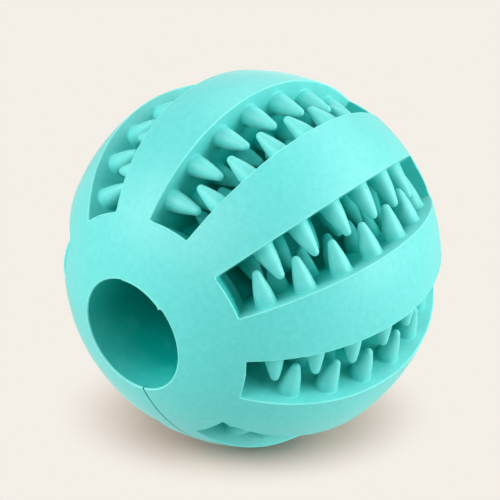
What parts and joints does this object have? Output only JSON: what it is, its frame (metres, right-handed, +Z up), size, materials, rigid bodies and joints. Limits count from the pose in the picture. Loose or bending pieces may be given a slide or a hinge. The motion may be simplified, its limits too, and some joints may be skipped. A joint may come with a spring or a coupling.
{
  "type": "treat dispensing ball",
  "caption": "Soft rubber treat ball lying on its side: round mouth into a blind treat chamber, long slots between ribs, and rows of cone teeth on the walls of each slot.",
  "frame": {"origin": "centre of the ball, on the axis of the treat chamber", "axes": "the ball lies on its side: -Y points out of the mouth along the chamber's axis, +Z is up and +X is to the right as seen from the mouth"},
  "size_m": [0.07, 0.068, 0.07],
  "materials": {
    "natural_rubber": "moulded matt, aqua green",
    "rubber_cement": "cured film, darker aqua green"
  },
  "bodies": {
    "root": {"right_half": "natural_rubber", "left_half": "natural_rubber", "seam_cement": "rubber_cement"}
  },
  "joints": []
}
